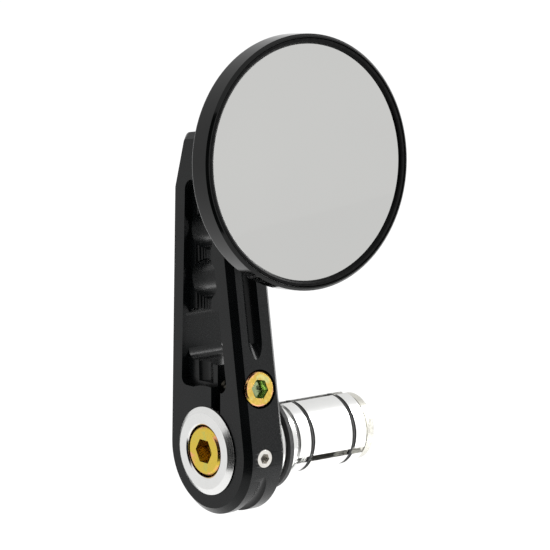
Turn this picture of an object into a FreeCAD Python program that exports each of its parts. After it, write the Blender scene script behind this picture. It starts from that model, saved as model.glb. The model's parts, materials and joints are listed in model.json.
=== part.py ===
"""Round bar-end mirror: billet arm clamped on a bar-end hub, ball-jointed mirror head, expanding bar plug.

Row frame, millimetres. Origin on the handlebar's axis, in the plane where the bar's end seats.
+X runs into the handlebar, -Y faces the rider, +Z is up.
"""
import FreeCAD, Part

import math
import os

from FreeCAD import Placement, Rotation, Vector

# ---------------------------------------------------------------- driving dimensions
BAR_RADIUS = 12.7            # outside of the one-inch handlebar
BAR_BORE_RADIUS = 9.5        # inside of the handlebar

# stations along the bar's axis
SEAT_RING_THICKNESS = 1.7    # rubber ring between the hub and the bar's end
HUB_STANDOFF = 4.0           # hub showing between the arm and the seat ring
ARM_THICKNESS = 13.2
HUB_PROUD = 1.4              # hub's face stands this far out of the arm's face
SPINE_DEPTH = 6.1            # from the arm's face to the line of its screws and flutes
ARM_BACK_X = -SEAT_RING_THICKNESS - HUB_STANDOFF
ARM_FRONT_X = ARM_BACK_X - ARM_THICKNESS
SPINE_X = ARM_FRONT_X + SPINE_DEPTH
SET_SCREW_X = SPINE_X - 0.3
HUB_FACE_X = ARM_FRONT_X - HUB_PROUD

# arm outline, in the plane across the bar
ARM_END_RADIUS = 17.0
RIDER_SIDE_SLOPE = 9.1       # degrees from vertical, leaning away from the rider
FORWARD_SIDE_SLOPE = 1.45    # degrees from vertical, leaning to the rider
NOSE_SLOPE = 16.2            # degrees from vertical, above the knee
KNEE_Z = 68.6
NOSE_Z = 83.0
KNEE_RADIUS = 4.0
NOSE_RADIUS = 2.6
CROWN_RADIUS = 5.0
EDGE_BEVEL = 1.7

# recess in the arm's face, its channel, holes and window
POCKET_DEPTH = 2.2
POCKET_LAND = 6.2            # from the rider side of the arm to the recess
POCKET_TOP_Z = 71.2
POCKET_BOTTOM_Z = 16.1
POCKET_FORWARD_TOP_Y = 9.4
POCKET_FORWARD_BOTTOM_Y = 11.1
POCKET_END_RADIUS = 17.2     # the recess ends on this circle round the hub
POCKET_CORNERS = [3.0, 2.6, 3.0, 2.0]
CHANNEL_RADIUS = 5.0
CHANNEL_DEPTH = 1.3
CHANNEL_SCALLOPS = 7
SCALLOP_PITCH = 1.05
SCALLOP_RADIUS = 0.8
GROOVE_RELIEF = 0.2          # how far the grooves cut below the trough
CHANNEL_LOW = (3.3, 17.6)    # y, z of the channel's ends
CHANNEL_HIGH = (4.9, 66.0)
LIGHTENING_HOLES = [(3.8, 44.9, 5.4), (4.4, 57.6, 5.0)]   # y, z, radius
WINDOW_BOTTOM_Z = 22.8
WINDOW_TOP_Z = 36.4
WINDOW_TOP_RISE = 1.0        # the top edge is higher on the rider side
WINDOW_FORWARD_Y = 10.65
WINDOW_CORNERS = [2.6, 1.6, 1.6, 2.6]
SLIT_Y = (-5.4, -1.5)

# flutes milled in the arm's edge
FLUTE_RADIUS = 2.3
FLUTE_DEPTH = 2.0
FLUTE_LOW_Z = 28.2
FLUTE_HIGH_Z = 63.5
FLUTE_RUNOUT_ANGLE = 25.0    # degrees that the cutter climbs out at each end
TOE_FLUTE_CENTRE_Z = 3.2     # the toe flute fades out as it climbs

# hub and its screws
HUB_RADIUS = 11.7
HUB_CONE_WIDTH = 1.6
HUB_LIP = 0.1                # plain band beside the cone and inside the arm's face
HUB_CONE_DEPTH = 1.0
HUB_NECK_RADIUS = 11.35      # between the cone and the arm's face
HEAD_POCKET_RADIUS = 7.0
HEAD_POCKET_BREAK = 0.4
HEAD_SUNK = 0.1              # main screw's head below the hub's face
GROOVE_RADIUS = 10.9
GROOVE_WIDTH = 3.6
SEAT_STEP_RADIUS = 10.2
SEAT_RING_EDGE = 0.5
PILOT_RADIUS = 9.3
PILOT_LENGTH = 4.0
MAIN_WASHER_THICKNESS = 1.4
M8 = {"shank": 4.0, "head": 6.5, "height": 8.0, "hex": 6.0, "socket": 4.2, "pitch": 1.25}
QUARTER_INCH = {
    "shank": 3.12, "head": 4.7, "height": 6.35, "hex": 4.76, "socket": 3.3, "pitch": 1.27,
}
M5 = {"shank": 2.48, "head": 4.36, "height": 5.0, "hex": 4.0, "socket": 2.7, "pitch": 0.8}
M3 = {"shank": 1.23, "core": 1.0, "head": 2.95, "hex": 2.0, "socket": 1.1, "length": 6.0}
HEAD_EDGE = 0.09             # screw head's chamfer, over its radius
SCREW_TIP = 0.2              # screw end's chamfer, over the shank's radius
MAIN_BOLT_LENGTH = 40.0
PINCH_BOLT_LENGTH = 16.0
PINCH_BOLT_UP = 15.6         # along the arm's rider side, from the hub's axis
PINCH_RECESS_RADIUS = 5.15
PINCH_RECESS_DEPTH = 6.25
SET_SCREW_LENGTH = 4.0
SET_SCREW_SUNK = 0.15
SET_SCREW_EDGE = 0.15
SET_SCREW_HEX = 2.5
SET_SCREW_SOCKET = 2.2
PAD_RADIUS = 1.7

# expanding plug
CONE_TAPER = 0.2             # rise over run of both cones
CONE_BIG_RADIUS = 8.6
CONE_SMALL_RADIUS = 7.0
CONE_LENGTH = (CONE_BIG_RADIUS - CONE_SMALL_RADIUS) / CONE_TAPER
COLLET_START_X = 4.6
COLLET_END_X = 27.4
NUT_CONE_START_X = 20.0
NUT_FLANGE_THICKNESS = 2.6
COLLET_SLOT = 2.0
COLLET_GAP = 0.05            # between the collet's cones and the hub and nut
O_RING_STATIONS = (9.0, 23.0)
O_RING_SECTION = 0.5
O_RING_GROOVE = (1.3, 1.1)   # width and depth
O_RING_SUNK = 0.06
COLLET_EDGE = 0.3
NUT_KEY_WIDTH = 1.3
NUT_KEY_TOP = 8.3            # stays inside the rubber rings
NUT_KEY_FOOT = 6.0
NUT_KEY_SETBACK = 1.0        # from the nut's small end

# mirror head; w runs along the head's axis from the ball's centre towards the rider
GLASS_EDGE_W = 14.0
GLASS_VIEW_RADIUS = 30.3
GLASS_RADIUS = 31.0
GLASS_CURVATURE = 600.0
GLASS_THICKNESS = 2.0
GLASS_CENTRE = Vector(SPINE_X, -33.85, 80.8)
HEAD_TILT = 6.4              # degrees that the glass looks up
HEAD_RADIUS = 32.9
HEAD_FRONT_W = 14.8
RIM_DEPTH = 6.8
RIM_WALL = 0.95
RIM_BACK_ROUND = 1.0
RIM_FRONT_BREAK = 0.6
SHELF_W = 11.0               # ledge inside the rim that carries the glass
SHELF_RADIUS = 28.0
FOAM_RADII = (28.3, 30.9)
FOAM_GAP = 0.06
BEZEL_FOOT_W = 11.9
BEZEL_SUNK = 0.15            # bezel's top below the rim's front
BALL_RADIUS = 6.0
LINER_RADIUS = 7.5
FRONT_LINER_ANGLES = (14, 60)   # degrees from the head's axis
REAR_LINER_ANGLES = (92, 127)
SEAT_GAP = 0.03
NECK_RADIUS = 2.6
NECK_LENGTH = 9.0            # slim part of the stud, from the ball's centre
STUD_TAPPED_FROM = 11.2      # from the ball's centre to the end of the stud's tapped hole
BALL_FLAT = 0.35
STUD_FLANGE_RADIUS = 6.4
STUD_FLANGE_THICKNESS = 2.2
STUD_SPIGOT_RADIUS = 4.0
STUD_SPIGOT_LENGTH = 5.0
STUD_SCREW_RECESS_RADIUS = 4.8
STUD_SCREW_SEAT = 9.6        # from the arm's rider side to the screw's seat
STUD_SCREW_LENGTH = 10.0
STUD_WASHER_THICKNESS = 1.1
STUD_WASHER_SPLIT = 0.8
BOSS_RADIUS = 15.6
BOSS_FRONT_W = 9.0
BOSS_BORE_RADIUS = 8.6
CUP_SPAN = (3.4, 8.1)        # pressure cup's ends
CUP_FIT = 0.06
CUP_BORE_RADIUS = 2.2
SPRING_RADII = (4.6, 8.1)
SPRING_THICKNESS = 0.45
CLAMP_PLATE_BORE = 3.0
CLAMP_PLATE_EDGE = 0.4
CLAMP_PLATE_THICKNESS = 1.8
CLAMP_SCREW_CIRCLE = 12.2
CLAMP_SCREW_COUNT = 3
CLAMP_HOLE_DEPTH = 7.4
CLAMP_HOLE_RADIUS = 1.6
COUNTERSINK_RADIUS = 3.05
COUNTERSINK_DEPTH = 1.45

# fits, on the radius unless said otherwise
RUNNING_FIT = 0.05           # arm on the hub
THREAD_FIT = 0.02            # screw in its tapped hole
BOLT_FIT = 0.25              # screw in its clearance hole
BORE_FIT = 0.2               # main screw in the hub and its washer
NUT_FIT = 0.03               # main screw in the wedge nut
WASHER_FIT = 0.12
SPIGOT_FIT = 0.03
SEATING_GAP = 0.02           # left between faces that touch

X_AXIS = Vector(1, 0, 0)
Y_AXIS = Vector(0, 1, 0)
Z_AXIS = Vector(0, 0, 1)
SIDE = math.radians(RIDER_SIDE_SLOPE)
SIDE_NORMAL = Vector(0, -math.cos(SIDE), math.sin(SIDE))
SIDE_UP = Vector(0, math.sin(SIDE), math.cos(SIDE))
TILT = math.radians(HEAD_TILT)
HEAD_AXIS = Vector(0, -math.cos(TILT), math.sin(TILT))
BALL_CENTRE = GLASS_CENTRE - HEAD_AXIS * GLASS_EDGE_W
STUD_LENGTH = BALL_CENTRE.dot(SIDE_NORMAL) - ARM_END_RADIUS   # ball's centre to the arm
REACH = 60.0                 # longer than any cut needs


# ---------------------------------------------------------------- helpers
def rounded_path(points, radii):
    """Edges along an open path of (y, z) points, with its inner corners rounded by tangent arcs."""
    corners = [Vector(0, y, z) for y, z in points]
    edges, start = [], corners[0]
    for before, corner, after, radius in zip(corners, corners[1:], corners[2:], radii):
        back = (before - corner).normalize()
        ahead = (after - corner).normalize()
        half = back.getAngle(ahead) / 2
        setback = radius / math.tan(half)
        bisector = (back + ahead).normalize()
        centre = corner + bisector * (radius / math.sin(half))
        enter, leave = corner + back * setback, corner + ahead * setback
        edges.append(Part.LineSegment(start, enter).toShape())
        edges.append(Part.Arc(enter, centre - bisector * radius, leave).toShape())
        start = leave
    edges.append(Part.LineSegment(start, corners[-1]).toShape())
    return edges


def plate(edges, x_from, x_to):
    """A prism across X on a closed outline of edges drawn in the plane X = 0."""
    face = Part.Face(Part.Wire(Part.__sortEdges__(edges)))
    face.translate(Vector(x_from, 0, 0))
    return face.extrude(Vector(x_to - x_from, 0, 0))


def rounded_plate(points, radii, x_from, x_to):
    """A prism across X on a closed polygon of (y, z) points, each corner rounded."""
    middle = tuple((a + b) / 2 for a, b in zip(points[-1], points[0]))
    return plate(rounded_path([middle, *points, middle], radii), x_from, x_to)


def lathe(profile, origin, axis):
    """A solid turned about axis through origin, from closed (station, radius) points."""
    points = [Vector(r, 0, s) for s, r in profile]
    wire = Part.makePolygon(points + points[:1])
    solid = Part.Face(wire).revolve(Vector(0, 0, 0), Z_AXIS, 360)
    return aligned(solid, origin, axis)


def aligned(shape, origin, axis):
    """Moves a shape built along +Z from zero to stand on origin along axis."""
    moved = shape.copy()
    moved.Placement = Placement(origin, Rotation(Z_AXIS, axis)).multiply(moved.Placement)
    return moved


def rod(radius, origin, axis, start, end):
    """A cylinder about axis, between two stations measured from origin."""
    return Part.makeCylinder(radius, end - start, origin + axis * start, axis)


def hexagon(across_flats, origin, axis, start, end, turn=0.0):
    """A hexagonal prism about axis; turn, in degrees, moves its corners round."""
    corner = across_flats / math.sqrt(3)
    points = []
    for k in range(7):
        angle = math.radians(60 * k + turn)
        points.append(Vector(corner * math.cos(angle), corner * math.sin(angle), start))
    prism = Part.Face(Part.makePolygon(points)).extrude(Vector(0, 0, end - start))
    return aligned(prism, origin, axis)


def socket_screw(size, length, origin, axis, turn=0.0, threaded=0.0):
    """A socket head cap screw. origin is the centre of the head's top, axis runs down the shank."""
    head, height, shank = size["head"], size["height"], size["shank"]
    edge, tip = HEAD_EDGE * head, SCREW_TIP * shank
    end = height + length
    profile = [(0, 0), (0, head - edge), (edge, head), (height, head), (height, shank)]
    root, pitch = shank - 0.5 * size["pitch"], size["pitch"]
    turns = int(threaded / pitch)
    first = end - tip - turns * pitch
    for k in range(turns):
        profile += [(first + k * pitch, shank), (first + (k + 0.5) * pitch, root)]
    profile += [(end - tip, shank), (end, shank - tip), (end, 0)]
    body = lathe(profile, origin, axis)
    depth = size["socket"]
    socket = hexagon(size["hex"], origin, axis, -1, depth, turn)
    point = Part.makeCone(size["hex"] / 2, 0, size["hex"] / 4, origin + axis * depth, axis)
    return body.cut(socket).cut(point)


def sphere_shell(inner, outer, from_angle, to_angle):
    """A spherical band about BALL_CENTRE, between two angles from the head's axis."""
    a, b = math.radians(from_angle), math.radians(to_angle)
    middle = (a + b) / 2

    def at(radius, angle):
        return Vector(radius * math.sin(angle), 0, radius * math.cos(angle))

    edges = [
        Part.Arc(at(outer, a), at(outer, middle), at(outer, b)).toShape(),
        Part.LineSegment(at(outer, b), at(inner, b)).toShape(),
        Part.Arc(at(inner, b), at(inner, middle), at(inner, a)).toShape(),
        Part.LineSegment(at(inner, a), at(outer, a)).toShape(),
    ]
    band = Part.Face(Part.Wire(edges)).revolve(Vector(0, 0, 0), Z_AXIS, 360)
    return aligned(band, BALL_CENTRE, HEAD_AXIS)


def head_lathe(profile):
    return lathe(profile, BALL_CENTRE, HEAD_AXIS)


# ---------------------------------------------------------------- arm
def rider_line_y(z, depth=0.0):
    """Y of a line inside the arm's rider side, depth in from its surface."""
    return z * math.tan(SIDE) - (ARM_END_RADIUS - depth) / math.cos(SIDE)


def arm_blank():
    forward = math.radians(FORWARD_SIDE_SLOPE)
    foot = (ARM_END_RADIUS * math.cos(forward), ARM_END_RADIUS * math.sin(forward))
    knee_y = ARM_END_RADIUS / math.cos(forward) - KNEE_Z * math.tan(forward)
    nose_y = knee_y - (NOSE_Z - KNEE_Z) * math.tan(math.radians(NOSE_SLOPE))
    rise = math.tan(SIDE)
    crown_z = (NOSE_Z + rise * (nose_y + ARM_END_RADIUS / math.cos(SIDE))) / (1 + rise * rise)
    heel = (ARM_END_RADIUS * SIDE_NORMAL.y, ARM_END_RADIUS * SIDE_NORMAL.z)
    path = [foot, (knee_y, KNEE_Z), (nose_y, NOSE_Z), (rider_line_y(crown_z), crown_z), heel]
    edges = rounded_path(path, [KNEE_RADIUS, NOSE_RADIUS, CROWN_RADIUS])
    toe = Vector(0, 0, -ARM_END_RADIUS)
    edges.append(Part.Arc(Vector(0, *heel), toe, Vector(0, *foot)).toShape())
    blank = plate(edges, ARM_FRONT_X, ARM_BACK_X)

    def rim(x):
        return [e for e in blank.Edges if all(abs(v.Point.x - x) < 1e-6 for v in e.Vertexes)]

    blank = blank.makeChamfer(EDGE_BEVEL, rim(ARM_FRONT_X))
    return blank.makeChamfer(EDGE_BEVEL, rim(ARM_BACK_X))


def arm_recess():
    corners = [
        (POCKET_FORWARD_TOP_Y, POCKET_TOP_Z),
        (rider_line_y(POCKET_TOP_Z, POCKET_LAND), POCKET_TOP_Z),
        (rider_line_y(POCKET_BOTTOM_Z, POCKET_LAND), POCKET_BOTTOM_Z),
        (POCKET_FORWARD_BOTTOM_Y, POCKET_BOTTOM_Z),
    ]
    floor_x = ARM_FRONT_X + POCKET_DEPTH
    recess = rounded_plate(corners, POCKET_CORNERS, ARM_FRONT_X - 1, floor_x)
    return recess.cut(rod(POCKET_END_RADIUS, Vector(), X_AXIS, ARM_FRONT_X - 2, floor_x + 1))


def arm_channel():
    """A round trough along the recess's floor, with fine grooves in it above the window."""
    low = Vector(0, *CHANNEL_LOW)
    run = Vector(0, *CHANNEL_HIGH) - low
    axis_x = ARM_FRONT_X + POCKET_DEPTH + CHANNEL_DEPTH - CHANNEL_RADIUS
    foot = low + Vector(axis_x, 0, 0)
    cuts = [Part.makeCylinder(CHANNEL_RADIUS - GROOVE_RELIEF, run.Length, foot, run)]
    start = low + run * ((WINDOW_TOP_Z - low.z) / run.z)
    reach = CHANNEL_RADIUS - SCALLOP_RADIUS
    for k in range(CHANNEL_SCALLOPS):
        angle = (k - (CHANNEL_SCALLOPS - 1) / 2) * SCALLOP_PITCH / CHANNEL_RADIUS
        offset = Vector(axis_x + reach * math.cos(angle), reach * math.sin(angle), 0)
        length = (low + run - start).Length
        cuts.append(Part.makeCylinder(SCALLOP_RADIUS, length, start + offset, run))
    return cuts


def arm_window():
    corners = [
        (WINDOW_FORWARD_Y, WINDOW_TOP_Z),
        (rider_line_y(WINDOW_TOP_Z, POCKET_LAND), WINDOW_TOP_Z + WINDOW_TOP_RISE),
        (rider_line_y(WINDOW_BOTTOM_Z, POCKET_LAND), WINDOW_BOTTOM_Z),
        (WINDOW_FORWARD_Y + 0.2, WINDOW_BOTTOM_Z),
    ]
    return rounded_plate(corners, WINDOW_CORNERS, ARM_FRONT_X + 1, ARM_BACK_X + 1)


def arm_flutes():
    """The long flute up the rider side and the one that wraps the toe."""
    depth_to_axis = ARM_END_RADIUS + FLUTE_RADIUS - FLUTE_DEPTH
    base = Vector(SPINE_X, 0, 0) + SIDE_NORMAL * depth_to_axis
    low, high = base + SIDE_UP * FLUTE_LOW_Z, base + SIDE_UP * FLUTE_HIGH_Z
    side = Part.makeCylinder(FLUTE_RADIUS, (high - low).Length, low, SIDE_UP)
    ends = []
    climb = math.radians(FLUTE_RUNOUT_ANGLE)
    for point, along in ((low, SIDE_UP * -1), (high, SIDE_UP)):
        out = along * math.cos(climb) + SIDE_NORMAL * math.sin(climb)
        ends.append(Part.makeSphere(FLUTE_RADIUS, point))
        ends.append(Part.makeCylinder(FLUTE_RADIUS, 4 * FLUTE_DEPTH, point, out))
    ring_radius = ARM_END_RADIUS - FLUTE_DEPTH + TOE_FLUTE_CENTRE_Z + FLUTE_RADIUS
    centre = Vector(SPINE_X, 0, TOE_FLUTE_CENTRE_Z)
    ring = Part.makeTorus(ring_radius, FLUTE_RADIUS, centre, X_AXIS)
    below = Part.makeBox(REACH, REACH, REACH, Vector(SPINE_X - REACH / 2, -REACH / 2, -REACH))
    return [side, *ends, ring.common(below)]


def pinch_axis():
    """Centre of the pinch bolt's head, in the arm's rider side, and the way its shank runs."""
    surface = SIDE_NORMAL * ARM_END_RADIUS + SIDE_UP * PINCH_BOLT_UP
    return Vector(SPINE_X, surface.y, surface.z), SIDE_NORMAL * -1


def make_arm():
    solid = arm_blank()
    through = (ARM_FRONT_X - 1, ARM_BACK_X + 1)
    cuts = [arm_recess(), *arm_channel(), arm_window(), *arm_flutes()]
    cuts.append(rod(HUB_RADIUS + RUNNING_FIT, Vector(), X_AXIS, *through))
    for y, z, radius in LIGHTENING_HOLES:
        cuts.append(rod(radius, Vector(0, y, z), X_AXIS, *through))
    slit_foot = HUB_RADIUS / 2
    slit_width, slit_height = SLIT_Y[1] - SLIT_Y[0], WINDOW_BOTTOM_Z + 1 - slit_foot
    corner = Vector(through[0], SLIT_Y[0], slit_foot)
    cuts.append(Part.makeBox(through[1] - through[0], slit_width, slit_height, corner))
    head, into = pinch_axis()
    bolt_end = PINCH_RECESS_DEPTH + PINCH_BOLT_LENGTH + 1.5
    gap_y = (SLIT_Y[0] + SLIT_Y[1]) / 2
    to_gap = (gap_y - head.y) / into.y
    cuts.append(rod(PINCH_RECESS_RADIUS, head, into, -2, PINCH_RECESS_DEPTH))
    cuts.append(rod(QUARTER_INCH["shank"] + BOLT_FIT, head, into, 0, to_gap))
    cuts.append(rod(QUARTER_INCH["shank"] + THREAD_FIT, head, into, 0, bolt_end))
    screw = Vector(SET_SCREW_X, 0, 0)
    cuts.append(rod(M5["shank"] + THREAD_FIT, screw, Y_AXIS, -ARM_END_RADIUS - 1, -HUB_RADIUS + 2))
    stud_foot = BALL_CENTRE - SIDE_NORMAL * STUD_LENGTH
    inward = SIDE_NORMAL * -1
    spigot_hole = STUD_SPIGOT_LENGTH + 0.2
    cuts.append(rod(STUD_SPIGOT_RADIUS + SPIGOT_FIT, stud_foot, inward, -1, spigot_hole))
    cuts.append(rod(M5["shank"] + BOLT_FIT, stud_foot, inward, 0, REACH))
    cuts.append(rod(STUD_SCREW_RECESS_RADIUS, stud_foot, inward, STUD_SCREW_SEAT, REACH))
    for tool in cuts:
        solid = solid.cut(tool)
    return solid.removeSplitter()


def make_pinch_bolt():
    head, into = pinch_axis()
    top = head + into * (PINCH_RECESS_DEPTH - QUARTER_INCH["height"])
    return socket_screw(QUARTER_INCH, PINCH_BOLT_LENGTH, top, into, turn=12, threaded=11)


def make_set_screw():
    start = Vector(SET_SCREW_X, -ARM_END_RADIUS + SET_SCREW_SUNK, 0)
    radius, edge = M5["shank"], SET_SCREW_EDGE
    profile = [(0, 0), (0, radius - edge), (edge, radius), (SET_SCREW_LENGTH - edge, radius)]
    profile += [(SET_SCREW_LENGTH, radius - edge), (SET_SCREW_LENGTH, 0)]
    socket = hexagon(SET_SCREW_HEX, start, Y_AXIS, -1, SET_SCREW_SOCKET, turn=10)
    return lathe(profile, start, Y_AXIS).cut(socket)


def make_friction_pad():
    start = -ARM_END_RADIUS + SET_SCREW_SUNK + SET_SCREW_LENGTH
    end = -GROOVE_RADIUS - 0.06
    return rod(PAD_RADIUS, Vector(SET_SCREW_X, 0, 0), Y_AXIS, start, end)


def make_ball_stud():
    """Ball, slim neck, foot flange and spigot, tapped from behind for the stud screw."""
    flange_top = STUD_LENGTH - STUD_FLANGE_THICKNESS
    profile = [
        (0, 0), (0, NECK_RADIUS), (NECK_LENGTH, NECK_RADIUS),
        (flange_top - 0.6, STUD_FLANGE_RADIUS - 1.6), (flange_top, STUD_FLANGE_RADIUS - 0.5),
        (flange_top + 0.5, STUD_FLANGE_RADIUS), (STUD_LENGTH, STUD_FLANGE_RADIUS),
        (STUD_LENGTH, STUD_SPIGOT_RADIUS),
        (STUD_LENGTH + STUD_SPIGOT_LENGTH, STUD_SPIGOT_RADIUS),
        (STUD_LENGTH + STUD_SPIGOT_LENGTH, 0),
    ]
    inward = SIDE_NORMAL * -1
    body = lathe(profile, BALL_CENTRE, inward).fuse(Part.makeSphere(BALL_RADIUS, BALL_CENTRE))
    tapped = rod(M5["shank"] + THREAD_FIT, BALL_CENTRE, inward, STUD_TAPPED_FROM, REACH)
    flat = rod(REACH, BALL_CENTRE, SIDE_NORMAL, BALL_RADIUS - BALL_FLAT, REACH)
    return body.cut(tapped).cut(flat).removeSplitter()


def stud_screw_seat():
    return BALL_CENTRE - SIDE_NORMAL * (STUD_LENGTH + STUD_SCREW_SEAT)


def make_stud_washer():
    seat = stud_screw_seat()
    ring = rod(M5["head"] + 0.1, seat, SIDE_NORMAL, -STUD_WASHER_THICKNESS, -SEATING_GAP)
    ring = ring.cut(rod(M5["shank"] + WASHER_FIT, seat, SIDE_NORMAL, -2, 2))
    split = Part.makeBox(STUD_WASHER_SPLIT, 10, 10, Vector(-STUD_WASHER_SPLIT / 2, 0, -5))
    split.Placement = Placement(seat, Rotation(X_AXIS, 90 - RIDER_SIDE_SLOPE))
    return ring.cut(split)


def make_stud_screw():
    stack = STUD_WASHER_THICKNESS + SEATING_GAP + M5["height"]
    top = stud_screw_seat() - SIDE_NORMAL * stack
    return socket_screw(M5, STUD_SCREW_LENGTH, top, SIDE_NORMAL, turn=20, threaded=8)


# ---------------------------------------------------------------- hub and bar plug
def make_hub():
    head_floor = HUB_FACE_X + HEAD_SUNK + M8["height"] + MAIN_WASHER_THICKNESS
    cone_end = PILOT_LENGTH + CONE_LENGTH
    bore = M8["shank"] + BORE_FIT
    half_groove = GROOVE_WIDTH / 2
    cone_foot = HUB_FACE_X + HUB_CONE_DEPTH
    profile = [
        (head_floor, bore), (head_floor, HEAD_POCKET_RADIUS),
        (HUB_FACE_X + HEAD_POCKET_BREAK, HEAD_POCKET_RADIUS),
        (HUB_FACE_X, HEAD_POCKET_RADIUS + HEAD_POCKET_BREAK),
        (HUB_FACE_X, HUB_RADIUS - HUB_CONE_WIDTH), (cone_foot, HUB_RADIUS),
        (cone_foot + HUB_LIP, HUB_RADIUS), (cone_foot + HUB_LIP, HUB_NECK_RADIUS),
        (ARM_FRONT_X + HUB_LIP, HUB_NECK_RADIUS), (ARM_FRONT_X + HUB_LIP, HUB_RADIUS),
        (SET_SCREW_X - half_groove, HUB_RADIUS), (SET_SCREW_X - half_groove, GROOVE_RADIUS),
        (SET_SCREW_X + half_groove, GROOVE_RADIUS), (SET_SCREW_X + half_groove, HUB_RADIUS),
        (-SEAT_RING_THICKNESS, HUB_RADIUS), (-SEAT_RING_THICKNESS, SEAT_STEP_RADIUS),
        (0, SEAT_STEP_RADIUS), (0, PILOT_RADIUS), (PILOT_LENGTH, PILOT_RADIUS),
        (PILOT_LENGTH, CONE_BIG_RADIUS), (cone_end, CONE_SMALL_RADIUS), (cone_end, bore),
    ]
    return lathe(profile, Vector(), X_AXIS)


def make_seat_ring():
    edge = SEAT_RING_EDGE
    inner = SEAT_STEP_RADIUS + RUNNING_FIT
    profile = [
        (-SEAT_RING_THICKNESS, inner), (-SEAT_RING_THICKNESS, BAR_RADIUS - edge),
        (-SEAT_RING_THICKNESS + edge, BAR_RADIUS), (0, BAR_RADIUS), (0, inner),
    ]
    return lathe(profile, Vector(), X_AXIS)


def make_main_bolt():
    top = Vector(HUB_FACE_X + HEAD_SUNK, 0, 0)
    return socket_screw(M8, MAIN_BOLT_LENGTH, top, X_AXIS, turn=90, threaded=20)


def make_main_washer():
    start = HUB_FACE_X + HEAD_SUNK + M8["height"] + SEATING_GAP / 2
    end = start + MAIN_WASHER_THICKNESS - SEATING_GAP
    ring = rod(HEAD_POCKET_RADIUS - 0.1, Vector(), X_AXIS, start, end)
    return ring.cut(rod(M8["shank"] + BORE_FIT, Vector(), X_AXIS, start - 1, end + 1))


def collet_sleeve():
    """The whole plug sleeve, with both inner cones and the ring grooves, before it is split."""
    big = CONE_BIG_RADIUS + COLLET_GAP
    small = CONE_SMALL_RADIUS + COLLET_GAP
    cone_end = PILOT_LENGTH + CONE_LENGTH
    at_start = big - (COLLET_START_X - PILOT_LENGTH) * CONE_TAPER
    at_end = small + (COLLET_END_X - NUT_CONE_START_X) * CONE_TAPER
    outer = BAR_BORE_RADIUS
    edge = COLLET_EDGE
    profile = [(COLLET_START_X, at_start), (COLLET_START_X, outer - edge)]
    profile += [(COLLET_START_X + edge, outer)]
    width, depth = O_RING_GROOVE
    for station in O_RING_STATIONS:
        low, high = station - width / 2, station + width / 2
        profile += [(low, outer), (low, outer - depth), (high, outer - depth), (high, outer)]
    profile += [(COLLET_END_X - edge, outer), (COLLET_END_X, outer - edge), (COLLET_END_X, at_end)]
    profile += [(NUT_CONE_START_X, small), (cone_end, small)]
    return lathe(profile, Vector(), X_AXIS)


def make_collet_segment(centre_angle):
    """One third of the sleeve, between slots; angles are measured from +Y towards +Z."""
    wedge_span = math.radians(60)
    far = 3 * BAR_BORE_RADIUS
    middle = math.radians(centre_angle)
    corners = [Vector(COLLET_START_X - 1, 0, 0)]
    for angle in (middle - wedge_span, middle + wedge_span):
        corners.append(Vector(COLLET_START_X - 1, far * math.cos(angle), far * math.sin(angle)))
    wedge = Part.Face(Part.makePolygon(corners + corners[:1]))
    outward = Vector(0, math.cos(middle), math.sin(middle))
    wedge.translate(outward * (COLLET_SLOT / 2 / math.sin(wedge_span)))
    return collet_sleeve().common(wedge.extrude(Vector(COLLET_END_X - COLLET_START_X + 2, 0, 0)))


def make_expander_rings():
    ring_radius = BAR_BORE_RADIUS - O_RING_SUNK - O_RING_SECTION
    rings = [
        Part.makeTorus(ring_radius, O_RING_SECTION, Vector(x, 0, 0), X_AXIS) for x in O_RING_STATIONS
    ]
    return Part.makeCompound(rings)


def make_wedge_nut():
    cone_end = NUT_CONE_START_X + CONE_LENGTH
    flange_end = cone_end + NUT_FLANGE_THICKNESS
    bore = M8["shank"] + NUT_FIT
    flange = CONE_BIG_RADIUS + 0.3
    profile = [
        (NUT_CONE_START_X, bore + 0.6), (NUT_CONE_START_X, CONE_SMALL_RADIUS),
        (cone_end, CONE_BIG_RADIUS), (cone_end, flange), (flange_end - 0.6, flange),
        (flange_end, flange - 0.6), (flange_end, bore + 0.6), (flange_end - 0.6, bore),
        (NUT_CONE_START_X + 0.6, bore),
    ]
    body = lathe(profile, Vector(), X_AXIS)
    key_start = NUT_CONE_START_X + NUT_KEY_SETBACK
    corner = Vector(key_start, -NUT_KEY_WIDTH / 2, NUT_KEY_FOOT)
    key = Part.makeBox(cone_end - key_start, NUT_KEY_WIDTH, NUT_KEY_TOP - NUT_KEY_FOOT, corner)
    return body.fuse(key).removeSplitter()


# ---------------------------------------------------------------- mirror head
def sagitta(radius):
    """How far the convex glass falls away from its apex, at a radius."""
    return GLASS_CURVATURE - math.sqrt(GLASS_CURVATURE ** 2 - radius ** 2)


def glass_front_w(radius):
    """Height of the convex glass's front over the ball's centre, at a radius."""
    return GLASS_EDGE_W + sagitta(GLASS_VIEW_RADIUS) - sagitta(radius)


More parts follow.
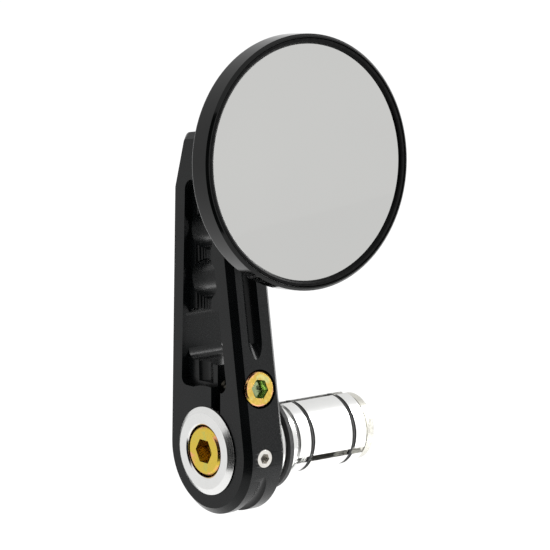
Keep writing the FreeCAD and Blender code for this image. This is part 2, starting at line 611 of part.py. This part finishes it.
def make_housing():
    """Turned cup: rim, dished back, boss with the rear ball seat and three tapped holes."""
    rim_back = HEAD_FRONT_W - RIM_DEPTH
    wall = HEAD_RADIUS - RIM_WALL
    outside = [
        (HEAD_FRONT_W, wall), (HEAD_FRONT_W, HEAD_RADIUS - RIM_FRONT_BREAK),
        (HEAD_FRONT_W - RIM_FRONT_BREAK, HEAD_RADIUS),
    ]
    outside += corner_points((rim_back, HEAD_RADIUS), RIM_BACK_ROUND, 8)
    dish = curve_points((rim_back - 0.2, 31.2), (3.2, 24.0), (-3.6, 15.2), 10)
    outside += dish + [(-6.0, 13.6), (-6.9, 12.4), (-7.2, 11.4), (-7.2, 6.9)]
    inside = [(-4.3, 5.9), (0.0, 5.9), (0.0, BOSS_BORE_RADIUS), (BOSS_FRONT_W, BOSS_BORE_RADIUS)]
    inside += [(BOSS_FRONT_W, BOSS_RADIUS), (0.8, BOSS_RADIUS + 0.6)]
    inside += curve_points((0.8, 18.4), (6.0, 24.4), (9.9, SHELF_RADIUS), 6)
    inside += [(SHELF_W, SHELF_RADIUS), (SHELF_W, wall)]
    body = head_lathe(outside + inside)
    body = body.cut(Part.makeSphere(LINER_RADIUS + SEAT_GAP, BALL_CENTRE))
    for place in clamp_screw_places():
        body = body.cut(rod(M3["shank"] + THREAD_FIT, place, HEAD_AXIS, -CLAMP_HOLE_DEPTH, 0.1))
    return body


def curve_points(start, control, end, count):
    """Points along a quadratic curve between start and end, pulled towards control."""
    points = []
    for k in range(count + 1):
        t = k / count
        a, b, c = (1 - t) ** 2, 2 * t * (1 - t), t * t
        points.append(tuple(a * s + b * m + c * e for s, m, e in zip(start, control, end)))
    return points


def corner_points(corner, radius, count):
    """Points round a rim's back corner, from its outside to its back face."""
    w, r = corner[0] + radius, corner[1] - radius
    angles = [math.pi / 2 * k / count for k in range(count + 1)]
    return [(w - radius * math.sin(a), r + radius * math.cos(a)) for a in angles]


def clamp_screw_places():
    """Where the clamp screws' axes cross the boss's front face."""
    side = X_AXIS
    up = side.cross(HEAD_AXIS)
    places = []
    for k in range(CLAMP_SCREW_COUNT):
        angle = math.radians(90 + 360 / CLAMP_SCREW_COUNT * k)
        offset = side * math.cos(angle) + up * math.sin(angle)
        places.append(BALL_CENTRE + HEAD_AXIS * BOSS_FRONT_W + offset * CLAMP_SCREW_CIRCLE)
    return places


def make_bezel():
    """Snap ring: a leg down beside the glass and a rounded lip over its edge."""
    outer = HEAD_RADIUS - RIM_WALL - 0.04
    leg = GLASS_RADIUS + 0.05
    over = glass_front_w(GLASS_VIEW_RADIUS) + 0.05
    top = HEAD_FRONT_W - BEZEL_SUNK
    profile = [
        (BEZEL_FOOT_W, outer), (top - 0.25, outer), (top, outer - 0.2), (top, GLASS_VIEW_RADIUS + 0.75),
        (top - 0.15, GLASS_VIEW_RADIUS + 0.35), (top - 0.45, GLASS_VIEW_RADIUS + 0.05),
        (over, GLASS_VIEW_RADIUS), (over, leg), (BEZEL_FOOT_W, leg),
    ]
    return head_lathe(profile)


def make_glass():
    """Convex disc with parallel faces and a ground edge."""
    below = GLASS_EDGE_W - 2 * GLASS_THICKNESS
    disc = rod(GLASS_RADIUS, BALL_CENTRE, HEAD_AXIS, below, HEAD_FRONT_W + 5)
    centre = BALL_CENTRE + HEAD_AXIS * (glass_front_w(0) - GLASS_CURVATURE)
    front = Part.makeSphere(GLASS_CURVATURE, centre)
    back = Part.makeSphere(GLASS_CURVATURE - GLASS_THICKNESS, centre)
    return disc.common(front).cut(back)


def make_foam_ring():
    top = glass_front_w(GLASS_RADIUS) - GLASS_THICKNESS - FOAM_GAP
    inner, outer = FOAM_RADII
    return head_lathe([(SHELF_W, inner), (SHELF_W, outer), (top, outer), (top, inner)])


def make_liner_rear():
    return sphere_shell(BALL_RADIUS + SEAT_GAP, LINER_RADIUS, *REAR_LINER_ANGLES)


def make_liner_front():
    return sphere_shell(BALL_RADIUS + SEAT_GAP, LINER_RADIUS, *FRONT_LINER_ANGLES)


def make_pressure_cup():
    outer = BOSS_BORE_RADIUS - CUP_FIT
    start, end = CUP_SPAN
    body = head_lathe([(start, 0), (start, outer), (end, outer), (end, 0)])
    body = body.cut(Part.makeSphere(LINER_RADIUS + SEAT_GAP, BALL_CENTRE))
    return body.cut(rod(CUP_BORE_RADIUS, BALL_CENTRE, HEAD_AXIS, 2, 10))


def make_disc_spring():
    """A coned spring washer between the cup and the plate."""
    low, high = CUP_SPAN[1] + SEATING_GAP, BOSS_FRONT_W - SEATING_GAP
    inner, outer = SPRING_RADII
    thick = SPRING_THICKNESS
    return head_lathe([(low, outer), (low + thick, outer), (high, inner), (high - thick, inner)])


def make_clamp_plate():
    front = BOSS_FRONT_W + CLAMP_PLATE_THICKNESS
    bore, edge = CLAMP_PLATE_BORE, CLAMP_PLATE_EDGE
    body = head_lathe([
        (BOSS_FRONT_W, bore), (BOSS_FRONT_W, BOSS_RADIUS), (front - edge, BOSS_RADIUS),
        (front, BOSS_RADIUS - edge), (front, bore),
    ])
    for place in clamp_screw_places():
        body = body.cut(rod(CLAMP_HOLE_RADIUS, place, HEAD_AXIS, -1, 3))
        seat = place + HEAD_AXIS * (CLAMP_PLATE_THICKNESS - COUNTERSINK_DEPTH)
        body = body.cut(
            Part.makeCone(CLAMP_HOLE_RADIUS, COUNTERSINK_RADIUS, COUNTERSINK_DEPTH, seat, HEAD_AXIS)
        )
    return body


def make_clamp_screws():
    """Countersunk M3 screws, heads flush with the plate."""
    screws = []
    top = CLAMP_PLATE_THICKNESS - SEATING_GAP
    end, core, shank = -M3["length"], M3["core"], M3["shank"]
    profile = [
        (end, 0), (end, core), (end + shank - core, shank), (0, shank),
        (top - COUNTERSINK_DEPTH, CLAMP_HOLE_RADIUS - 0.1), (top, M3["head"]), (top, 0),
    ]
    for place in clamp_screw_places():
        screw = lathe(profile, place, HEAD_AXIS)
        socket = hexagon(M3["hex"], place, HEAD_AXIS, top - M3["socket"], top + 1)
        screws.append(screw.cut(socket))
    return Part.makeCompound(screws)


# ---------------------------------------------------------------- export
def main():
    os.makedirs("parts", exist_ok=True)
    nodes = {
        "arm": make_arm(),
        "pinch_bolt": make_pinch_bolt(),
        "set_screw": make_set_screw(),
        "friction_pad": make_friction_pad(),
        "ball_stud": make_ball_stud(),
        "stud_screw": make_stud_screw(),
        "stud_washer": make_stud_washer(),
        "hub": make_hub(),
        "seat_ring": make_seat_ring(),
        "main_bolt": make_main_bolt(),
        "main_washer": make_main_washer(),
        "wedge_nut": make_wedge_nut(),
        "expander_rings": make_expander_rings(),
        "housing": make_housing(),
        "bezel_ring": make_bezel(),
        "mirror_glass": make_glass(),
        "glass_foam_ring": make_foam_ring(),
        "liner_rear": make_liner_rear(),
        "liner_front": make_liner_front(),
        "pressure_cup": make_pressure_cup(),
        "disc_spring": make_disc_spring(),
        "clamp_plate": make_clamp_plate(),
        "clamp_screws": make_clamp_screws(),
    }
    for number, angle in enumerate((30, 150, 270), start=1):
        nodes[f"collet_segment_{number}"] = make_collet_segment(angle)
    for name, shape in nodes.items():
        volumes = [round(s.Volume, 2) for s in shape.Solids]
        box = shape.BoundBox
        size = [round(v, 1) for v in (box.XLength, box.YLength, box.ZLength)]
        print(f"{name:20s} valid={shape.isValid()} volumes={volumes} size={size}")
        if len(shape.Solids) == 1:
            shape = shape.Solids[0]
        shape.exportStep(f"parts/{name}.step")


main()
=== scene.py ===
"""Looks of the bar-end mirror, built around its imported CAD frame. Metres, in the row frame:
+X into the handlebar, -Y towards the rider, +Z up."""
import json
import math

import bpy
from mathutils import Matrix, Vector


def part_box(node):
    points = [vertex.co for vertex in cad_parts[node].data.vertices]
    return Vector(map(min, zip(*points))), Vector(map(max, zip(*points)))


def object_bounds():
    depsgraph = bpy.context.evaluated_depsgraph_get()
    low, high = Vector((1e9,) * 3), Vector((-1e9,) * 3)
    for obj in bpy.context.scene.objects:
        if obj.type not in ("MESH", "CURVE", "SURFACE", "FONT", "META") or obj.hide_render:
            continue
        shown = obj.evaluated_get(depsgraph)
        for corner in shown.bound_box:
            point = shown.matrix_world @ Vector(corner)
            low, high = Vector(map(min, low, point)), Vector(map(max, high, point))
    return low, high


MM = 0.001

# camera
CAMERA_AZIMUTH = math.radians(-38.467)
CAMERA_ELEVATION = math.radians(11.201)
CAMERA_DISTANCE = 1.532
CAMERA_LENS = 382.65
CAMERA_TARGET = Vector((0.48, -3.97, 45.15)) * MM

FLOOR_DROP = 0.60            # from the lowest point of the mirror to the floor
FLOOR_SIZE = 24.0

# lights and the black card: direction from the camera's target, distance, size, power in watts
WORLD_STRENGTH = 1.04
OVERHEAD_HEIGHT = 3.2
OVERHEAD_SIZE = (6.0, 6.0)
OVERHEAD_POWER = 16
STRIP_AZIMUTH = math.radians(62)
STRIP_ELEVATION = math.radians(14)
STRIP_DISTANCE = 1.3
STRIP_SIZE = (0.34, 1.7)
STRIP_POWER = 26
CARD_AZIMUTH = math.radians(-50)
CARD_ELEVATION = math.radians(2)
CARD_DISTANCE = 0.8
CARD_SIZE = (1.3, 1.25)

SIDE_SLOPE = math.radians(9.1)   # lean of the arm's rider side, which the pinch bolt stands square to

# sizes on the screws and the hub where the colour changes, for the zinc film and for painted shade, from
# the CAD
MAIN_HEAD = 6.5 * MM
MAIN_HEX = 3.5 * MM
PINCH_HEAD = 4.7 * MM
PINCH_HEX = 2.8 * MM
PINCH_HEAD_HEIGHT = 6.35 * MM
PINCH_TOP_INSET = (0.68 * MM, 4.57 * MM)   # head's top centre, from the screw's box
SOCKET_MOUTH = (0.08 * MM, 0.3 * MM)
HUB_CONE = 1.12 * MM
HUB_NECK_OVERLAP = 0.1 * MM
HUB_SKIN = (10.9 * MM, 11.0 * MM)
ZONE_EDGE = 0.05 * MM        # how far the hub's metal takes to turn into its painted shade
HEX_EDGE = 0.1 * MM          # the same at a socket's wall
SHANK_EDGE = 0.2 * MM        # the same below the pinch bolt's head

# edge finishing of CAD nodes
WELD_DISTANCE = 1e-6
FLAT_ANGLE = math.radians(0.6)
SHARP_ANGLE = math.radians(28.0)
EDGE_SEGMENTS = 2
NORMAL_WEIGHT = 90
EDGE_WIDTHS = {
    "arm": 0.14 * MM,
    "hub": 0.08 * MM,
    "main_bolt": 0.1 * MM,
    "pinch_bolt": 0.08 * MM,
    "housing": 0.06 * MM,
}


def direction(azimuth, elevation):
    """Unit vector from the object towards a viewer; azimuth 0 is in front, at -Y."""
    flat = math.cos(elevation)
    return Vector((math.sin(azimuth) * flat, -math.cos(azimuth) * flat, math.sin(elevation)))


# ---------------------------------------------------------------- materials
class Surface:
    """A principled material with helpers for procedural detail in object space."""

    def __init__(self, name, color, roughness, metallic=0.0):
        self.material = bpy.data.materials.new(name)
        self.material.use_nodes = True
        self.tree = self.material.node_tree
        self.bsdf = self.tree.nodes["Principled BSDF"]
        self.set("Base Color", (*color, 1.0))
        self.set("Roughness", roughness)
        self.set("Metallic", metallic)
        self.material.diffuse_color = (*color, 1.0)
        self.height = None

    def set(self, socket, value):
        self.bsdf.inputs[socket].default_value = value

    def node(self, kind, **settings):
        made = self.tree.nodes.new(kind)
        for key, value in settings.items():
            setattr(made, key, value)
        return made

    def link(self, out, into):
        self.tree.links.new(out, into)
        return into

    def coordinates(self, stretch=(1, 1, 1)):
        place = self.node("ShaderNodeTexCoord")
        mapping = self.node("ShaderNodeMapping")
        mapping.inputs["Scale"].default_value = stretch
        self.link(place.outputs["Object"], mapping.inputs["Vector"])
        return mapping.outputs["Vector"]

    def noise(self, scale, detail=2.0, roughness=0.5, stretch=(1, 1, 1)):
        texture = self.node("ShaderNodeTexNoise")
        texture.inputs["Scale"].default_value = scale
        texture.inputs["Detail"].default_value = detail
        texture.inputs["Roughness"].default_value = roughness
        self.link(self.coordinates(stretch), texture.inputs["Vector"])
        return texture.outputs["Fac"]

    def radius(self, origin, axis):
        """Distance from an axis, in metres."""
        shift = self.node("ShaderNodeVectorMath", operation="SUBTRACT")
        shift.inputs[1].default_value = origin
        self.link(self.coordinates(), shift.inputs[0])
        across = self.node("ShaderNodeVectorMath", operation="CROSS_PRODUCT")
        across.inputs[1].default_value = axis
        self.link(shift.outputs["Vector"], across.inputs[0])
        length = self.node("ShaderNodeVectorMath", operation="LENGTH")
        self.link(across.outputs["Vector"], length.inputs[0])
        return length.outputs["Value"]

    def along(self, origin, axis):
        """Distance from a point, measured along an axis."""
        shift = self.node("ShaderNodeVectorMath", operation="SUBTRACT")
        shift.inputs[1].default_value = origin
        self.link(self.coordinates(), shift.inputs[0])
        dot = self.node("ShaderNodeVectorMath", operation="DOT_PRODUCT")
        dot.inputs[1].default_value = axis
        self.link(shift.outputs["Vector"], dot.inputs[0])
        return dot.outputs["Value"]

    def zone(self, mask, color):
        """Covers what has been coloured so far with another colour, where mask is 1."""
        base = self.bsdf.inputs["Base Color"]
        under = base.links[0].from_socket
        mix = self.node("ShaderNodeMix", data_type="RGBA")
        self.link(mask, mix.inputs[0])
        self.link(under, mix.inputs[6])
        mix.inputs[7].default_value = (*color, 1.0)
        self.link(mix.outputs[2], base)

    def rings(self, origin, axis, scale, detail=3.0):
        """Noise that depends only on the distance from an axis, as a lathe tool leaves."""
        texture = self.node("ShaderNodeTexNoise", noise_dimensions="1D")
        texture.inputs["Scale"].default_value = scale
        texture.inputs["Detail"].default_value = detail
        self.link(self.radius(origin, axis), texture.inputs["W"])
        return texture.outputs["Fac"]

    def both(self, one, other):
        """A mask that is 1 where two masks are."""
        product = self.node("ShaderNodeMath", operation="MULTIPLY")
        self.link(one, product.inputs[0])
        self.link(other, product.inputs[1])
        return product.outputs["Value"]

    def add(self, one, other):
        total = self.node("ShaderNodeMath", operation="ADD")
        self.link(one, total.inputs[0])
        self.link(other, total.inputs[1])
        return total.outputs["Value"]

    def remap(self, value, low, high, start=0.3, end=0.7):
        curve = self.node("ShaderNodeMapRange")
        for socket, number in (("From Min", start), ("From Max", end), ("To Min", low), ("To Max", high)):
            curve.inputs[socket].default_value = number
        self.link(value, curve.inputs["Value"])
        return curve.outputs["Result"]

    def vary_roughness(self, value, low, high):
        self.link(self.remap(value, low, high), self.bsdf.inputs["Roughness"])

    def vary_color(self, value, *stops):
        """stops are (position, color) pairs along a ramp that value drives."""
        ramp = self.node("ShaderNodeValToRGB")
        elements = ramp.color_ramp.elements
        while len(elements) < len(stops):
            elements.new(0.5)
        for element, (position, color) in zip(elements, stops):
            element.position = position
            element.color = (*color, 1.0)
        self.link(value, ramp.inputs["Fac"])
        self.link(ramp.outputs["Color"], self.bsdf.inputs["Base Color"])

    def bump(self, value, depth, strength=1.0):
        """Adds relief of a depth in metres; several calls stack."""
        relief = self.node("ShaderNodeBump")
        relief.inputs["Distance"].default_value = depth
        relief.inputs["Strength"].default_value = strength
        self.link(value, relief.inputs["Height"])
        if self.height is not None:
            self.link(self.height, relief.inputs["Normal"])
        self.height = relief.outputs["Normal"]
        for link in list(self.bsdf.inputs["Normal"].links):
            self.tree.links.remove(link)
        self.link(self.height, self.bsdf.inputs["Normal"])


def black_anodised():
    """Satin black: fine blasted grain under faint lengthwise milling marks."""
    s = Surface("black_anodised", (0.0016, 0.0020, 0.0021), 0.27)
    s.set("Specular IOR Level", 0.17)
    s.vary_color(s.noise(120, 3), (0.35, (0.0012, 0.0016, 0.0018)), (0.65, (0.0022, 0.0027, 0.0029)))
    s.vary_roughness(s.noise(2600, 2), 0.23, 0.31)
    s.bump(s.noise(7000, 1), 0.004 * MM, 0.5)
    s.bump(s.noise(5200, 2, stretch=(1, 1, 0.03)), 0.003 * MM, 0.4)
    return s.material


def gloss_black(origin, axis):
    """Polished black head: turned, anodised and buffed, so its rings only just show."""
    s = Surface("gloss_black", (0.0017, 0.0018, 0.0019), 0.12)
    s.set("Specular IOR Level", 0.19)
    s.vary_color(s.noise(140, 3), (0.35, (0.0012, 0.0014, 0.0014)), (0.65, (0.0022, 0.0024, 0.0024)))
    s.vary_roughness(s.noise(700, 3), 0.08, 0.14)
    s.bump(s.rings(origin, axis, 2600), 0.0014 * MM, 0.5)
    s.bump(s.noise(260, 2), 0.004 * MM, 0.2)
    return s.material


def bezel_black(origin, axis):
    """Matt black ring with fine lathe lines."""
    s = Surface("bezel_black", (0.0016, 0.0016, 0.0017), 0.3)
    s.set("Specular IOR Level", 0.06)
    s.vary_roughness(s.noise(900, 2), 0.24, 0.36)
    s.bump(s.rings(origin, axis, 5200), 0.003 * MM, 0.6)
    return s.material


def mirror_silver():
    """Silvered glass: metal reflection with a faint haze."""
    s = Surface("mirror_silver", (0.562, 0.562, 0.550), 0.02, 1.0)
    s.vary_color(s.noise(22, 2), (0.3, (0.553, 0.554, 0.543)), (0.7, (0.567, 0.567, 0.554)))
    s.vary_roughness(s.noise(60, 4), 0.012, 0.035)
    return s.material


def turned_aluminium(name, origin, axis, shade, roughness):
    """Bare aluminium with fine, even lathe lines."""
    s = Surface(name, (shade, shade, shade * 0.985), roughness, 1.0)
    tint = (shade * 0.96, shade * 0.962, shade * 0.945)
    s.vary_color(s.noise(220, 3), (0.3, tint), (0.7, (shade, shade, shade * 0.985)))
    s.vary_roughness(s.rings(origin, axis, 6500), roughness * 0.85, roughness * 1.2)
    s.bump(s.rings(origin, axis, 9000), 0.0004 * MM, 0.4)
    return s


def zinc_yellow(name, origin, axis, head, gold, warm, cool, roughness):
    """Yellow zinc plate on a screw whose head has a radius of head: gold that drifts to green
    where the film is thin and to pink where it is thick, most of all round the head's edge."""
    s = Surface(name, gold, roughness, 1.0)
    rim = s.remap(s.radius(origin, axis), 0.0, 0.22, head * 0.80, head)
    film = s.add(s.noise(330, 4, 0.6), rim)
    s.vary_color(film, (0.34, cool), (0.46, gold), (0.60, gold), (0.74, warm))
    s.vary_roughness(s.noise(1400, 3), roughness * 0.8, roughness * 1.4)
    s.bump(s.noise(2600, 2), 0.004 * MM, 0.5)
    return s


def plain_metal(name, color, roughness, grain=1500):
    """Plain metal with a fine even grain."""
    s = Surface(name, color, roughness, 1.0)
    dark = tuple(c * 0.88 for c in color)
    s.vary_color(s.noise(400, 3), (0.3, dark), (0.7, color))
    s.vary_roughness(s.noise(grain, 2), roughness * 0.75, roughness * 1.35)
    s.bump(s.noise(grain * 2.5, 2), 0.002 * MM, 0.5)
    return s.material


def moulded(name, color, roughness, grain=2200, depth=0.01):
    """Moulded rubber or plastic: fine pebbled skin."""
    s = Surface(name, color, roughness)
    pale = tuple(c * 1.25 + 0.001 for c in color)
    s.vary_color(s.noise(300, 3), (0.35, color), (0.65, pale))
    s.vary_roughness(s.noise(grain / 2, 2), roughness * 0.85, min(1.0, roughness * 1.2))
    s.bump(s.noise(grain, 2), depth * MM, 0.6)
    return s.material


# ---------------------------------------------------------------- pieces
def finish_edges(obj, width):
    """Welds a CAD node, clears its flat faces and rounds its sharp edges by width."""
    weld = obj.modifiers.new("weld", "WELD")
    weld.merge_threshold = WELD_DISTANCE
    flats = obj.modifiers.new("flats", "DECIMATE")
    flats.decimate_type = "DISSOLVE"
    flats.angle_limit = FLAT_ANGLE
    bevel = obj.modifiers.new("edges", "BEVEL")
    bevel.width = width
    bevel.segments = EDGE_SEGMENTS
    bevel.limit_method = "ANGLE"
    bevel.angle_limit = SHARP_ANGLE
    bevel.miter_outer = "MITER_ARC"
    normals = obj.modifiers.new("normals", "WEIGHTED_NORMAL")
    normals.weight = NORMAL_WEIGHT
    normals.keep_sharp = True


def paint(node, material):
    """Gives a CAD node its one material."""
    obj = frame["nodes"][node]
    obj.data.materials.clear()
    obj.data.materials.append(material)


# ---------------------------------------------------------------- studio
def add_area(name, towards, distance, size, power):
    """A soft white light that shines on the camera's target."""
    data = bpy.data.lights.new(name, "AREA")
    data.shape = "RECTANGLE"
    data.size, data.size_y = size
    data.energy = power
    light = bpy.data.objects.new(name, data)
    bpy.context.scene.collection.objects.link(light)
    light.location = CAMERA_TARGET + towards * distance
    light.rotation_euler = towards.to_track_quat("Z", "Y").to_euler()


def build_world():
    """Plain white surroundings."""
    world = bpy.data.worlds.new("studio")
    bpy.context.scene.world = world
    world.use_nodes = True
    background = world.node_tree.nodes["Background"]
    background.inputs["Color"].default_value = (1.0, 1.0, 1.0, 1.0)
    background.inputs["Strength"].default_value = WORLD_STRENGTH


def add_flag(towards, distance, size):
    """A black card that keeps light off one side, as a studio does; cameras look past it."""
    bpy.ops.mesh.primitive_plane_add(size=1, location=CAMERA_TARGET + towards * distance)
    flag = bpy.context.object
    flag.name = "flag"
    flag.scale = (*size, 1.0)
    flag.rotation_euler = towards.to_track_quat("Z", "Y").to_euler()
    s = Surface("flag_black", (0.004, 0.004, 0.004), 0.9)
    s.set("Specular IOR Level", 0.0)
    flag.data.materials.append(s.material)
    flag.visible_camera = False
    flag.visible_shadow = False
    flag.visible_diffuse = False


def build_floor(height):
    """Plain white floor, well below the mirror."""
    bpy.ops.mesh.primitive_plane_add(size=FLOOR_SIZE, location=(0, 0, height))
    floor = bpy.context.object
    floor.name = "floor"
    s = Surface("floor_white", (0.98, 0.98, 0.98), 0.9)
    s.set("Specular IOR Level", 0.0)
    floor.data.materials.append(s.material)


def build_camera():
    """Long lens, looking slightly down on the mirror from its front left."""
    data = bpy.data.cameras.new("camera")
    data.lens = CAMERA_LENS
    data.sensor_width = 36
    data.clip_end = 50
    camera = bpy.data.objects.new("camera", data)
    bpy.context.scene.collection.objects.link(camera)
    back = direction(CAMERA_AZIMUTH, CAMERA_ELEVATION)
    camera.location = CAMERA_TARGET + back * CAMERA_DISTANCE
    camera.rotation_euler = back.to_track_quat("Z", "Y").to_euler()
    bpy.context.scene.camera = camera


# ---------------------------------------------------------------- build
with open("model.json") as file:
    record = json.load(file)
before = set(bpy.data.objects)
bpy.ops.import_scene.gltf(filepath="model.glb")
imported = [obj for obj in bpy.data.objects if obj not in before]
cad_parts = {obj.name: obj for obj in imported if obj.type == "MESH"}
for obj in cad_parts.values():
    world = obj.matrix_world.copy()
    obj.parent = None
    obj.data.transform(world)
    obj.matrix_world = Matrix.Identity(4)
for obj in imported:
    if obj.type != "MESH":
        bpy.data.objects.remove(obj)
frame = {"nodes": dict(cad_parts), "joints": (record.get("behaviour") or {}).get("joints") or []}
cad_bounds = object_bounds()
joints = {joint["name"]: joint for joint in frame["joints"]}
ball = Vector(joints["head_spin"]["pos_m"])
head_axis = Vector(joints["head_spin"]["axis"])
bar_axis = Vector((1, 0, 0))
bar_centre = Vector((0, 0, 0))

black = black_anodised()
gloss = gloss_black(ball, head_axis)
bezel = bezel_black(ball, head_axis)
silver = mirror_silver()
hub_metal = turned_aluminium("hub_aluminium", bar_centre, bar_axis, 0.685, 0.2)
collet_metal = turned_aluminium("collet_aluminium", bar_centre, bar_axis, 0.66, 0.3)
cup_metal = turned_aluminium("cup_aluminium", ball, head_axis, 0.6, 0.3)
pinch_axis = Vector((0, math.cos(SIDE_SLOPE), -math.sin(SIDE_SLOPE)))
low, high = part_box("pinch_bolt")
pinch_top = Vector(((low.x + high.x) / 2, low.y + PINCH_TOP_INSET[0], high.z - PINCH_TOP_INSET[1]))
main_top = Vector((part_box("main_bolt")[0].x, 0, 0))
gold_main = zinc_yellow(
    "zinc_main", bar_centre, bar_axis, MAIN_HEAD,
    (0.60, 0.44, 0.06), (0.80, 0.36, 0.18), (0.47, 0.45, 0.10), 0.24,
)
gold_pinch = zinc_yellow(
    "zinc_pinch", pinch_top, pinch_axis, PINCH_HEAD,
    (0.62, 0.43, 0.09), (0.84, 0.40, 0.24), (0.57, 0.55, 0.21), 0.2,
)

# a socket's walls are painted darker and greener, as painted shade in the socket's recess, and the pinch
# bolt's shank is painted near black, as painted shade inside the clamp slit
for gold, top, axis, hex_radius, color in (
    (gold_main, main_top, bar_axis, MAIN_HEX, (0.52, 0.36, 0.05)),
    (gold_pinch, pinch_top, pinch_axis, PINCH_HEX, (0.34, 0.42, 0.22)),
):
    depth = gold.along(top, axis)
    inside = gold.remap(gold.radius(top, axis), 1, 0, hex_radius, hex_radius + HEX_EDGE)
    gold.zone(gold.both(gold.remap(depth, 0, 1, *SOCKET_MOUTH), inside), color)
# painted shade: the shank below the head is coloured near black, standing in for the shade inside the
# clamp slit
depth = gold_pinch.along(pinch_top, pinch_axis)
shank_shade_mask = gold_pinch.remap(depth, 0, 1, PINCH_HEAD_HEIGHT, PINCH_HEAD_HEIGHT + SHANK_EDGE)
gold_pinch.zone(shank_shade_mask, (0.035, 0.032, 0.026))

# the hub is painted near black in the narrow neck between its bevelled face and the arm, as painted shade
# in the gap
hub_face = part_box("hub")[0].x
arm_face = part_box("arm")[0].x
neck_start, neck_end = hub_face + HUB_CONE, arm_face + HUB_NECK_OVERLAP
place = hub_metal.along(bar_centre, bar_axis)
after = hub_metal.remap(place, 0, 1, neck_start, neck_start + ZONE_EDGE)
before = hub_metal.remap(place, 1, 0, neck_end, neck_end + ZONE_EDGE)
outside = hub_metal.remap(hub_metal.radius(bar_centre, bar_axis), 0, 1, *HUB_SKIN)
hub_metal.zone(hub_metal.both(hub_metal.both(after, before), outside), (0.012, 0.012, 0.012))
stainless = plain_metal("stainless", (0.68, 0.66, 0.62), 0.2)
stud_steel = plain_metal("stud_steel", (0.60, 0.61, 0.62), 0.14)
nut_steel = plain_metal("nut_steel", (0.56, 0.55, 0.50), 0.3)
black_oxide = plain_metal("black_oxide", (0.035, 0.035, 0.04), 0.36)
rubber = moulded("ring_rubber", (0.010, 0.010, 0.010), 0.6)
acetal = moulded("acetal", (0.03, 0.03, 0.032), 0.4, depth=0.004)
nylon = moulded("nylon", (0.75, 0.74, 0.68), 0.45, depth=0.004)
foam = moulded("foam", (0.03, 0.03, 0.03), 0.9, 1400, 0.05)

paints = {
    "arm": black,
    "pinch_bolt": gold_pinch.material,
    "set_screw": stainless,
    "friction_pad": nylon,
    "ball_stud": stud_steel,
    "stud_screw": black_oxide,
    "stud_washer": black_oxide,
    "hub": hub_metal.material,
    "seat_ring": rubber,
    "main_bolt": gold_main.material,
    "main_washer": stainless,
    "wedge_nut": nut_steel,
    "expander_rings": rubber,
    "housing": gloss,
    "bezel_ring": bezel,
    "mirror_glass": silver,
    "glass_foam_ring": foam,
    "liner_rear": acetal,
    "liner_front": acetal,
    "pressure_cup": cup_metal.material,
    "disc_spring": stud_steel,
    "clamp_plate": cup_metal.material,
    "clamp_screws": black_oxide,
}
for name in frame["nodes"]:
    if name.startswith("collet_segment"):
        paints[name] = collet_metal.material
for name, material in paints.items():
    paint(name, material)

for name, width in EDGE_WIDTHS.items():
    finish_edges(frame["nodes"][name], width)

build_world()
build_floor(cad_bounds[0][2] - FLOOR_DROP)
add_flag(direction(CARD_AZIMUTH, CARD_ELEVATION), CARD_DISTANCE, CARD_SIZE)
add_area("overhead", Vector((0, 0, 1)), OVERHEAD_HEIGHT, OVERHEAD_SIZE, OVERHEAD_POWER)
add_area("right_box", direction(STRIP_AZIMUTH, STRIP_ELEVATION), STRIP_DISTANCE, STRIP_SIZE, STRIP_POWER)
build_camera()
bpy.context.scene.view_settings.view_transform = "Standard"
